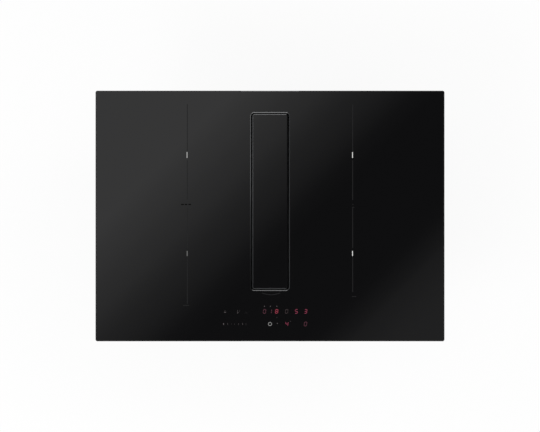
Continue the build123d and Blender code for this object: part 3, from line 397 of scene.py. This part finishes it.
def digit(figure, x, y, high=9.2, wide=6.1, stroke=1.25, lean=0.12):
    """The lit bars of a seven-segment figure round x, y, as pointed outlines that lean right."""
    lit_bars = {"0": "abcdef", "1": "bc", "3": "abcdg", "4": "bcfg", "5": "acdfg", "8": "abcdefg"}
    a, b, h = wide / 2 - stroke / 2, high / 2 - stroke / 2, stroke / 2
    gap = 0.2
    ends = {"a": ((-a, b), (a, b)), "b": ((a, 0), (a, b)), "c": ((a, -b), (a, 0)),
            "d": ((-a, -b), (a, -b)), "e": ((-a, -b), (-a, 0)), "f": ((-a, 0), (-a, b)),
            "g": ((-a, 0), (a, 0))}
    rings = []
    for name in lit_bars[figure]:
        (x0, y0), (x1, y1) = ends[name]
        if y0 == y1:
            ring = [(x0 + gap, y0), (x0 + h + gap, y0 - h), (x1 - h - gap, y0 - h),
                    (x1 - gap, y0), (x1 - h - gap, y0 + h), (x0 + h + gap, y0 + h)]
        else:
            ring = [(x0, y0 + gap), (x0 + h, y0 + h + gap), (x0 + h, y1 - h - gap),
                    (x0, y1 - gap), (x0 - h, y1 - h - gap), (x0 - h, y0 + h + gap)]
        u, v = np.transpose(ring)
        rings.append(np.column_stack([x + u + lean * v, y + v]))
    return rings


def arc_band(x, y, inner, outer, start=0.0, end=360.0, steps=32):
    """A round band about x, y between two radii, as quads from start to end in degrees."""
    angles = np.radians(np.linspace(start, end, steps + 1))
    rim = np.column_stack([np.cos(angles), np.sin(angles)])
    here, after = rim[:-1], rim[1:]
    quads = np.stack([inner * here, outer * here, outer * after, inner * after], axis=1)
    return list(quads + [x, y])


def dot(x, y, radius):
    """A round dot, as a polygon of 16 sides."""
    angles = np.arange(16) * np.pi / 8
    return np.column_stack([x + radius * np.cos(angles), y + radius * np.sin(angles)])


red_light = lit("glass_over_red_display", "983a4a")
pink_light = lit("glass_over_crimson_display", "86384c")
dim_light = lit("glass_over_dimmed_display", "54303a")
painted_grey_glow = lit("glass_over_unlit_display_with_painted_glow", "3c3334")
# The unlit display is given a painted grey glow, though nothing behind it is lit.
key_light = lit("glass_over_white_key_light", "9a9a99")
faint_light = lit("glass_over_faint_key_sign", "5a5556")

upper_row_y = -196.7
lower_row_y = -222.7
lamp_row_y = -186.2
flat_print("digits_bright", digit("8", 13.7, upper_row_y), ink_lift, red_light, "casing")
flat_print("digits_crimson", digit("5", 54.4, upper_row_y) + digit("3", 73.5, upper_row_y)
           + digit("4", 34.7, lower_row_y), ink_lift, pink_light, "casing")
flat_print("digits_dim", digit("0", -11.3, upper_row_y) + digit("0", 73.2, lower_row_y)
           + digit("1", 0.6, upper_row_y), ink_lift, dim_light, "casing")
# This figure is unlit; its grey is a painted glow.
flat_print("digits_grey", digit("0", 34.3, upper_row_y), ink_lift, painted_grey_glow, "casing")
flat_print("key_power", arc_band(0, lower_row_y, 2.95, 3.85), ink_lift, key_light, "casing")
# Each dot has its middle and its radius.
dots = [dot(x, y, radius) for x, y, radius in (
    (-11.5, lamp_row_y, 0.9), (0.9, lamp_row_y, 0.9), (14.1, lamp_row_y, 0.9),
    (15.3, -221.5, 0.9), (42.0, -217.0, 0.6), (14.2, -209.3, 0.5))]
flat_print("key_dots", dots, ink_lift, faint_light, "casing")
# A padlock, a clock and a pause sign in the upper row, and the steps of a slider in the lower.
padlock_x = -92.8
padlock = arc_band(padlock_x, -197.0, 1.25, 1.6, 0, 180, 12)
padlock += [bar(padlock_x, -198.9, 3.8, 0.9), bar(-94.2, -197.7, 0.35, 1.4),
            bar(-91.4, -197.7, 0.35, 1.4)]
clock = [bar(-67.0, -197.9, 0.4, 8.2), bar(-65.9, -199.0, 1.8, 0.8), bar(-62.9, -195.9, 0.2, 4.1)]
pause = [bar(-49.4, -200.0, 5.0, 0.15)]
slider = [bar(x, lower_row_y, wide, 4.0) for x, wide in (
    (-95.7, 1.4), (-87.5, 0.35), (-73.2, 0.15), (-64.9, 0.35), (-56.7, 0.55), (-49.4, 0.2))]
slider.append(dot(-79.3, lower_row_y, 0.4))
flat_print("key_signs", padlock + clock + pause + slider, ink_lift, faint_light, "casing")

# ---- Moulded casing ----------------------------------------------------------------------------
# The suction casing, air shaft, collar, spigot and drawer are injection-moulded polypropylene,
# with a fine spark-eroded grain that dulls the black. What is handled, gets hot or carries load
# is polyamide filled with short glass, smoother and a bit greyer.
casing_plastic = shade("spark_textured_black_polypropylene", "161617", "1f1f20", 1400, 0.55, 0.03)
paint(casing_plastic, "casing_base", "scroll_deck", "plenum_cover", "outlet_spigot",
      "intake_shaft", "intake_collar", "basket_seat", "drip_drawer")
basket_plastic = shade("glass_filled_black_polyamide", "1a1a1b", "262627", 2200, 0.48, 0.015)
paint(basket_plastic, "filter_basket", "basket_floor", "filter_grip", "cable_gland",
      "terminal_block")

# ---- Steel housing -----------------------------------------------------------------------------
# Folded hot-dip galvanised sheet: its zinc has frozen into pale and dark flakes, called spangle.
# The blower's wheel is pressed from the same sheet.
flakes_a_metre = 240.0
flake_bend = 0.004
galvanised, tree, out = blank("hot_dip_galvanised_sheet")
# Each flake has its own tone and its own gloss, with edges bent by noise.
spot = add(tree, "TexCoord").outputs["Object"]
bend = add(tree, "TexNoise", Vector=spot, Scale=120.0, Detail=3.0)
warped = add(tree, "VectorMath", {"operation": "MULTIPLY_ADD"}, _0=bend.outputs["Color"],
             _1=(flake_bend, flake_bend, flake_bend), _2=spot)
flake = add(tree, "TexVoronoi", Vector=warped.outputs[0], Scale=flakes_a_metre)
cell = add(tree, "SeparateColor", Color=flake.outputs["Color"])
tone = add(tree, "ValToRGB", stops=[(0, rgb("adb0b2")), (1, rgb("c2c5c6"))],
           Fac=cell.outputs["Red"])
dull = add(tree, "MapRange", Value=cell.outputs["Green"], To_Min=0.38, To_Max=0.5)
fine = add(tree, "TexNoise", Vector=spot, Scale=1800.0, Detail=2.0)
bump = add(tree, "Bump", Strength=0.35, Distance=0.00002, Height=fine.outputs["Fac"])
body = add(tree, "BsdfPrincipled", Base_Color=tone.outputs["Color"], Metallic=1.0,
           Roughness=dull.outputs["Result"], Normal=bump.outputs["Normal"])
tree.links.new(body.outputs[0], out.inputs["Surface"])
paint(galvanised, "housing_tray", "blower_wheel", "blower_blades", "blower_ring")

# ---- Springs, pins and carrier -----------------------------------------------------------------
# The folded carrier and its pins are rolled stainless steel, which keeps the fine straight lines
# of the rolls. The clips are spring steel, hardened and tempered to a darker, bluish grey.
stainless = shade("rolled_stainless_sheet", "b4b5b5", "c8c8c7", 500, 0.3, 0.01, 1.0, (8, 0.4, 8))
paint(stainless, "flap_carrier", "flap_pins")
spring_steel = shade("tempered_spring_steel", "6f7276", "8b8d90", 700, 0.36, 0.01, 1.0)
paint(spring_steel, "fixing_clips")

# ---- Seals -------------------------------------------------------------------------------------
# Closed-cell foam tape under the rim of the glass, foam pads under the touch keys, and beads of
# black silicone where the glass is bonded. The foam is dull, with its cells cut open, and the
# silicone keeps a soft sheen.
foam = shade("closed_cell_foam_tape", "1d1d1e", "2b2b2c", 900, 0.9, 0.12)
paint(foam, "rim_seal", "touch_pads")
silicone = shade("cured_black_silicone", "141415", "1b1b1c", 240, 0.32, 0.05)
paint(silicone, "glass_bond", "collar_bond")

# ---- Grease filters ----------------------------------------------------------------------------
# A folded aluminium frame round a sheet of expanded aluminium, slit and drawn out into diamonds
# of about 8 by 4 mm, on which the grease condenses. Pressing leaves the frame bright, and the
# strands a little greyer.
pressed = shade("pressed_bright_aluminium", "c4c6c8", "dcdddd", 600, 0.3, 0.01, 1.0, (1, 4, 1))
paint(pressed, "grease_filter_frame_left", "grease_filter_frame_right")
mesh_metal = shade("flattened_expanded_aluminium", "b2b4b6", "d3d4d5", 900, 0.32, 0.02, 1.0)
diamonds_across = 40
diamonds_up = 18
crest_share, crest_depth = 0.985, 0.00055
gap_share, gap_depth = 0.7, 0.00025


def expanded_sheet(name, node):
    """Expanded metal in the plane of a CAD sheet: two staggered sets of diamond rings.

    The sheet's upright direction is the main direction of its corners in XZ. A ring is four outer
    and four inner corners on each face; its outer edge is the crest of the strands, 1.1 mm thick,
    and they thin to 0.5 mm at the rim of the gap, which takes 0.7 of the diamond.
    """
    across, up = diamonds_across, diamonds_up
    corners = np.array([v.co for v in nodes[node].data.vertices])
    middle = (corners.max(axis=0) + corners.min(axis=0)) / 2
    upright = np.linalg.svd((corners - corners.mean(axis=0))[:, [0, 2]])[2][0]
    upright = np.array([upright[0], 0, upright[1]]) * np.sign(upright[1])
    outward = np.array([upright[2], 0, -upright[0]])
    spread = (corners - middle) @ upright
    wide = np.ptp(corners[:, 1]) / across
    tall = np.ptp(spread) / up
    first = np.stack(np.meshgrid(np.arange(across) + 0.5, np.arange(up) + 0.5), -1).reshape(-1, 2)
    second = np.stack(np.meshgrid(np.arange(1, across), np.arange(1, up)), -1).reshape(-1, 2)
    centres = (np.concatenate([first, second]) - [across / 2, up / 2]) * [wide, tall]
    diamond = np.array([(wide, 0), (0, tall), (-wide, 0), (0, -tall)]) / 2
    ring = np.concatenate([
        np.column_stack([diamond * size, np.full(4, depth)]) for size, depth in
        ((crest_share, crest_depth), (gap_share, gap_depth), (gap_share, -gap_depth),
         (crest_share, -crest_depth))])
    local = ring[None, :, :] + np.column_stack([centres, np.zeros(len(centres))])[:, None, :]
    local = local.reshape(-1, 3)
    points = (middle + local[:, :1] * [0, 1, 0] + local[:, 1:2] * upright
              + local[:, 2:] * outward)
    step = np.arange(4)
    after = (step + 1) % 4
    quads = [np.stack([step + 4 * a, after + 4 * a, after + 4 * b, step + 4 * b], -1)
             for a, b in ((0, 1), (1, 2), (2, 3), (3, 0))]
    faces = np.concatenate(quads)[None] + 16 * np.arange(len(centres))[:, None, None]
    made = mesh_object(name, points * 1000, faces.reshape(-1, 4), mesh_metal)
    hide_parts(node)
    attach(made, "filter_unit")


expanded_sheet("filter_strands_left", "grease_filter_mesh_left")
expanded_sheet("filter_strands_right", "grease_filter_mesh_right")

# ---- Coils -------------------------------------------------------------------------------------
# Flat coils of enamelled litz wire on moulded formers, with sintered ferrite bars under them and
# a mineral blanket between them and the glass.
coil_x = 170.5
coil_rows_y = (-76.25, 125.25)
coil_half_width = 92
coil_half_depth = 95
coil_corner = 34
corner_shrink = 0.4
winding_width = 65.0
wire_middle_z = 202.5
wire_half_height = 2.45
wire_turns = 15
wire_half_share = 0.49
copper, tree, out = blank("enamelled_litz_wire")
# The strands of each bunch are too fine to show one by one, so they are drawn as a fine mottle.
spot = add(tree, "TexCoord").outputs["Object"]
twist = add(tree, "TexNoise", Vector=spot, Scale=1600.0, Detail=2.0)
tone = add(tree, "ValToRGB", stops=[(0.3, rgb("8a4a2a")), (0.7, rgb("c57a4a"))],
           Fac=twist.outputs["Fac"])
bump = add(tree, "Bump", Strength=0.7, Distance=0.0003, Height=twist.outputs["Fac"])
body = add(tree, "BsdfPrincipled", Base_Color=tone.outputs["Color"], Metallic=0.85,
           Roughness=0.38, Normal=bump.outputs["Normal"])
tree.links.new(body.outputs[0], out.inputs["Surface"])


def wound_wire(middle_x, middle_y):
    """The points of one flat coil, by place along the wire and place round it.

    The wire's middle line goes fifteen times round a rounded rectangle, whose half sizes and
    corner radius shrink a little at each step on the way in. Its section is an ellipse.
    """
    corner_steps, section_steps = 8, 10
    turn_steps = 4 * corner_steps
    pitch = winding_width / (wire_turns + 1)
    step = np.arange(wire_turns * turn_steps + 1)
    depth = (0.5 + step / turn_steps) * pitch
    radius = coil_corner - corner_shrink * depth
    quarter = step // corner_steps % 4
    angle = (quarter + step % corner_steps / (corner_steps - 1)) * np.pi / 2
    side_x = np.array([1, -1, -1, 1])[quarter]
    side_y = np.array([1, 1, -1, -1])[quarter]
    line_x = middle_x + side_x * (coil_half_width - depth - radius) + radius * np.cos(angle)
    line_y = middle_y + side_y * (coil_half_depth - depth - radius) + radius * np.sin(angle)
    round_wire = np.arange(section_steps) * 2 * np.pi / section_steps
    aside = wire_half_share * pitch * np.cos(round_wire)
    x = line_x[:, None] + np.cos(angle)[:, None] * aside
    y = line_y[:, None] + np.sin(angle)[:, None] * aside
    z = np.broadcast_to(wire_middle_z + wire_half_height * np.sin(round_wire), x.shape)
    return np.stack([x, y, z], axis=-1)


coils = np.stack([wound_wire(x, y) for x in (-coil_x, coil_x) for y in coil_rows_y])
along, around = coils.shape[1:3]
here = np.arange(along * around).reshape(along, around)
beside = np.roll(here, -1, axis=1)
quads = np.stack([here[:-1], here[1:], beside[1:], beside[:-1]], axis=-1).reshape(-1, 4)
# Each wire is closed at its two ends.
faces = []
for shift in np.arange(len(coils)) * along * around:
    faces += (quads + shift).tolist() + [here[0] + shift, here[-1][::-1] + shift]
wound = mesh_object("coil_turns", coils.reshape(-1, 3), faces, copper, smooth=True)
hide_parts("coil_windings")
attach(wound, "casing")
# The formers are a warm matt grey, the ferrite is dark and dull like slate, and the blankets of
# pressed mica are buff. The sensors' fired beads are off-white, and the plates and heat sinks
# keep the faint lines of the mill.
former = shade("glass_filled_polyester_former", "6b6660", "7b756e", 1800, 0.6, 0.02)
paint(former, *[n for n in nodes if n.startswith("coil_former")])
ferrite = shade("sintered_ferrite", "2c2c2e", "3c3c3f", 2600, 0.5, 0.02)
paint(ferrite, "ferrite_bars")
mica = shade("pressed_mica_blanket", "b9ae95", "d1c7ae", 420, 0.7, 0.06)
paint(mica, "coil_blanket_left", "coil_blanket_right")
bead = shade("fired_ceramic_sensor", "dcdad2", "e9e7e0", 800, 0.45, 0.01)
paint(bead, "coil_sensors")
plate = shade("mill_finish_aluminium", "b6b8ba", "cbccce", 380, 0.38, 0.01, 1.0, (1, 6, 1))
paint(plate, "coil_plate_left", "coil_plate_right", "heat_sink_left", "heat_sink_right")

# ---- Boards ------------------------------------------------------------------------------------
# Glass-fibre boards under green solder resist, carried on pale flame-proof mouldings.
# The power boards carry their relays at the front, then a choke, and capacitors at the back.
resist = shade("green_solder_resist", "0f4a2a", "176238", 320, 0.34, 0.02)
paint(resist, "control_board")
# These are in metres.
board_face = 0.159
board_front, board_back = -0.15, 0.2
half_lane = 0.0025
half_track = 0.0006
populated, tree, out = blank("soldered_circuit_board_with_its_components")
# Above the board's face, what is green gives way to black relays, a copper-wound choke and
# blue film capacitors, from front to back. Tracks show through the resist as paler lines.
spot = add(tree, "TexCoord").outputs["Object"]
parts = add(tree, "SeparateXYZ", Vector=spot).outputs
above = add(tree, "Math", {"operation": "GREATER_THAN"}, _0=parts["Z"], _1=board_face)
band = add(tree, "MapRange", Value=parts["Y"], From_Min=board_front, From_Max=board_back,
           To_Min=0.1)
kind = add(tree, "Math", {"operation": "MULTIPLY"}, _0=above.outputs[0], _1=band.outputs["Result"])
lane = add(tree, "Math", {"operation": "PINGPONG"}, _0=parts["X"], _1=half_lane)
track = add(tree, "Math", {"operation": "LESS_THAN"}, _0=lane.outputs[0], _1=half_track)
broken = add(tree, "Mapping", Vector=spot, Scale=(1, 0.15, 1))
patch = add(tree, "TexNoise", Vector=broken.outputs[0], Scale=90.0)
there = add(tree, "Math", {"operation": "GREATER_THAN"}, _0=patch.outputs["Fac"], _1=0.5)
track = add(tree, "Math", {"operation": "MULTIPLY"}, _0=track.outputs[0], _1=there.outputs[0])
track = add(tree, "Math", {"operation": "MULTIPLY"}, _0=track.outputs[0], _1=0.04)
kind = add(tree, "Math", {"operation": "MAXIMUM"}, _0=kind.outputs[0], _1=track.outputs[0])
# The stops are the resist, a track, the relays, the choke and the capacitors.
stops = [(0.0, rgb("115230")), (0.03, rgb("2c8350")), (0.08, rgb("1b1c1e")),
         (0.576, rgb("a8673a")), (0.71, rgb("3a5488"))]
tone = add(tree, "ValToRGB", stops=stops, Fac=kind.outputs[0])
tone.color_ramp.interpolation = "CONSTANT"
fine = add(tree, "TexNoise", Vector=spot, Scale=700.0, Detail=3.0)
dull = add(tree, "MapRange", Value=fine.outputs["Fac"], To_Min=0.28, To_Max=0.46)
bump = add(tree, "Bump", Strength=0.4, Distance=0.00006, Height=fine.outputs["Fac"])
body = add(tree, "BsdfPrincipled", Base_Color=tone.outputs["Color"],
           Roughness=dull.outputs["Result"], Normal=bump.outputs["Normal"])
tree.links.new(body.outputs[0], out.inputs["Surface"])
paint(populated, "power_board_left", "power_board_right")
# The mouldings are a soft matt cream, and the displays' red cases spread the light of the figures.
carrier_plastic = shade("pale_flame_proof_abs", "bdbab2", "cbc8c0", 1600, 0.55, 0.02)
paint(carrier_plastic, "control_carrier", "board_rails")
display_case = shade("red_diffusing_polycarbonate", "7c1420", "92202c", 500, 0.3, 0.01)
paint(display_case, "display_digits")

# ---- Fans and motor ----------------------------------------------------------------------------
# Cooling fans moulded in satin black, and a motor of stamped and turned steel on rubber mounts.
# The plated steel keeps the faint rings of the lathe, and the rubber is dull from its mould.
fan_plastic = shade("moulded_black_polybutylene", "1e1e20", "2a2a2c", 1500, 0.46, 0.015)
paint(fan_plastic, "cooling_housings", "cooling_rotor_left", "cooling_rotor_right")
motor_steel = shade("turned_and_plated_steel", "9d9fa1", "b7b8ba", 520, 0.33, 0.008, 1.0)
paint(motor_steel, "motor_rotor", "motor_stator", "motor_shields", "motor_bearings")
rubber = shade("moulded_black_rubber", "17171a", "222224", 1100, 0.8, 0.03)
paint(rubber, "motor_mounts")

# ---- Screws ------------------------------------------------------------------------------------
# Pan-head screws with a cross recess: bright zinc on the housing, and dull black oxide on the
# casing, whose lugs they draw together. No screw's thread shows.
head_rings = 12
head_spokes = 48
head_height = 0.55
head_crown = 0.55
recess_half_width = 0.16
recess_reach = 0.62
recess_depth = 0.55
weld_reach = 1e-6  # metres


def screws(name, places, towards, radius, finish, body):
    """Screw heads, each centred on a place in mm, that face along +X, -X, +Y, -Y, +Z or -Z.

    A head is a grid of rings and spokes: a dome that sinks 0.55 of its height where the cross,
    two bars that are 0.32 of the radius wide, runs within 0.62 of the radius. Its last two rings
    close the foot, and the points that meet at the middle of the top and of the foot are welded.
    """
    share = np.concatenate([np.linspace(0, 1, head_rings), [1.0, 0.0]])
    angle = np.arange(head_spokes) * 2 * np.pi / head_spokes
    u = share[:, None] * np.cos(angle)[None, :]
    v = share[:, None] * np.sin(angle)[None, :]
    tall = head_height * radius
    high = tall * (1 - head_crown * (u ** 2 + v ** 2))
    cross = ((np.minimum(np.abs(u), np.abs(v)) < recess_half_width)
             & (np.hypot(u, v) < recess_reach))
    high = np.where(cross, high - recess_depth * tall, high)
    high[-2:] = 0
    head = np.stack([u * radius, v * radius, high], axis=-1).reshape(-1, 3)
    first_axis, second_axis, out_axis, sign = {
        "+X": (1, 2, 0, 1), "-X": (1, 2, 0, -1), "+Y": (2, 0, 1, 1), "-Y": (2, 0, 1, -1),
        "+Z": (0, 1, 2, 1), "-Z": (0, 1, 2, -1)}[towards]
    placed = np.zeros_like(head)
    placed[:, first_axis] = head[:, 0]
    placed[:, second_axis] = head[:, 1] * sign
    placed[:, out_axis] = head[:, 2] * sign
    row = np.arange(head_rings + 1)[:, None] * head_spokes
    first = row + np.arange(head_spokes)[None, :]
    after = row + (np.arange(head_spokes)[None, :] + 1) % head_spokes
    quads = np.stack([first, first + head_spokes, after + head_spokes, after],
                     axis=-1).reshape(-1, 4)
    points = np.concatenate([placed + np.asarray(p) for p in places])
    faces = np.concatenate([quads + i * len(head) for i in range(len(places))])
    made = mesh_object(name, points, faces, finish)
    welded = bmesh.new()
    welded.from_mesh(made.data)
    bmesh.ops.remove_doubles(welded, verts=welded.verts, dist=weld_reach)
    welded.to_mesh(made.data)
    welded.free()
    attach(made, body)


zinc = shade("zinc_plated_screw_steel", "a9abad", "c3c5c6", 900, 0.34, 0.01, 1.0)
black_screw = shade("black_oxide_screw_steel", "2b2c2e", "3b3c3f", 900, 0.42, 0.01, 0.9)
lug_under_side = 96.0
housing_under_side = 148.0
housing_back = 241.0
back_screw_z = 178.0
clip_face = 277.8
large_head, middle_head, small_head = 3.1, 2.9, 2.4
lugs = [(x, y, lug_under_side) for x in (-58.5, 278.5) for y in (-120, -20, 80, 180)]
floor_places = [(-262, -226), (-262, 0), (-262, 226), (-80, -226), (-80, 226), (262, -226),
                (262, 231)]
clip_places = [(y, z) for y in (-150, 150) for z in (202.4, 174.6)]
screws("screws_casing", lugs, "-Z", large_head, black_screw, "casing")
screws("screws_housing_floor", [(x, y, housing_under_side) for x, y in floor_places], "-Z",
       large_head, zinc, "casing")
screws("screws_housing_back", [(x, housing_back, back_screw_z)
                               for x in (-262, -140, 0, 140, 262)], "+Y", middle_head, zinc,
       "casing")
screws("screws_clips_left", [(-clip_face, y, z) for y, z in clip_places], "-X", small_head, zinc,
       "casing")
screws("screws_clips_right", [(clip_face, y, z) for y, z in clip_places], "+X", small_head, zinc,
       "casing")
